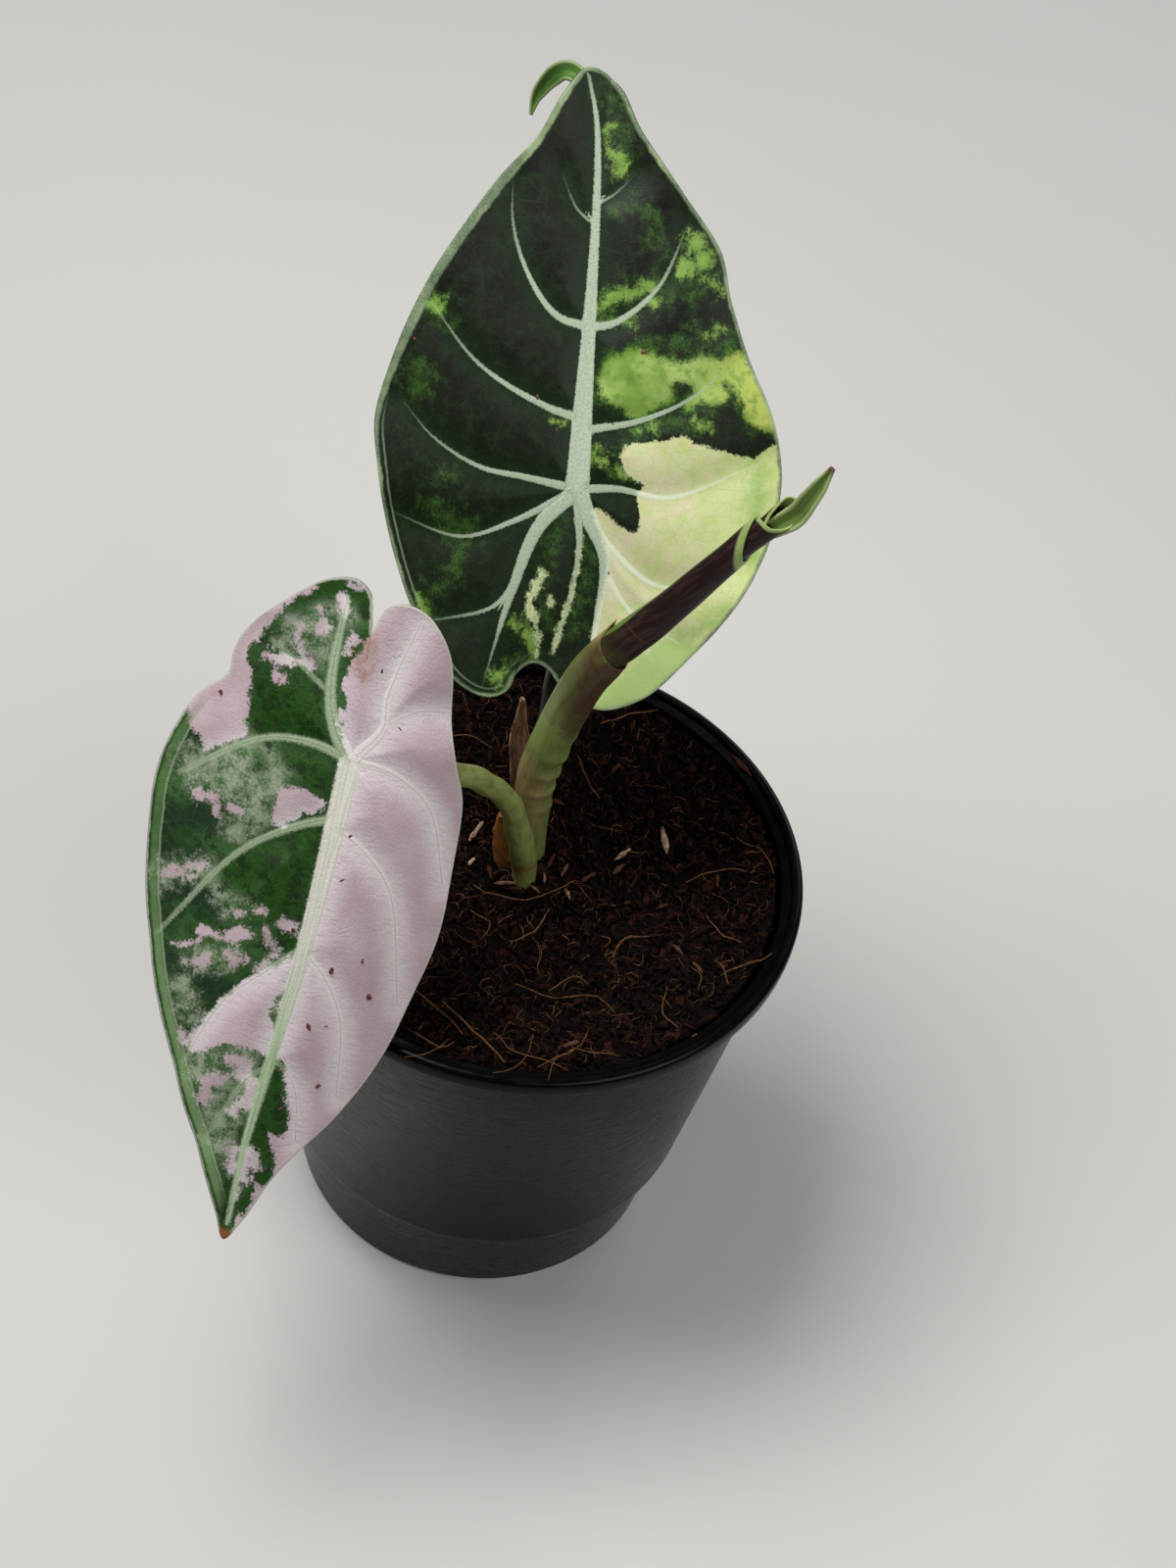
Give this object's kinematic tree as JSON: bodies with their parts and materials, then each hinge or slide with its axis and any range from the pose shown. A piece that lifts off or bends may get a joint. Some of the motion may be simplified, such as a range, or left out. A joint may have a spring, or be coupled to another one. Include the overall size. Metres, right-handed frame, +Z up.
{
  "type": "potted alocasia house plant",
  "caption": "Small aroid in a round stepped nursery pot: variegated shield-shaped leaves with pale raised veins, and a new leaf still rolled up.",
  "frame": {"origin": "centre of the pot's flat underside", "axes": "+Z up, along the plant's height; -Y towards the side that the upright leaf faces; +X to the right seen from there"},
  "size_m": [0.0995, 0.1372, 0.1798],
  "materials": {
    "pot_plastic": "glossy black moulded plastic",
    "soil": "matt dark coir and bark crumbs",
    "rhizome": "matt ringed bark",
    "stem": "satin green plant skin",
    "dark_blade": "satin dark green leaf with whitish veins and cream patches",
    "rolled_blade": "satin maroon leaf underside",
    "pale_blade": "satin lilac-pink and green leaf with whitish veins",
    "dry_sheath": "dry orange-brown scale leaf",
    "paper_scale": "dry papery scale leaf"
  },
  "bodies": {
    "root": {"pot": "pot_plastic", "soil": "soil", "rhizome": "rhizome", "back_leaf_stem": "stem", "back_leaf_blade": "dark_blade", "new_leaf_rolled": "rolled_blade", "front_leaf_stem": "stem", "front_leaf_blade": "pale_blade", "dry_sheath": "dry_sheath", "paper_scale": "paper_scale"}
  },
  "joints": []
}
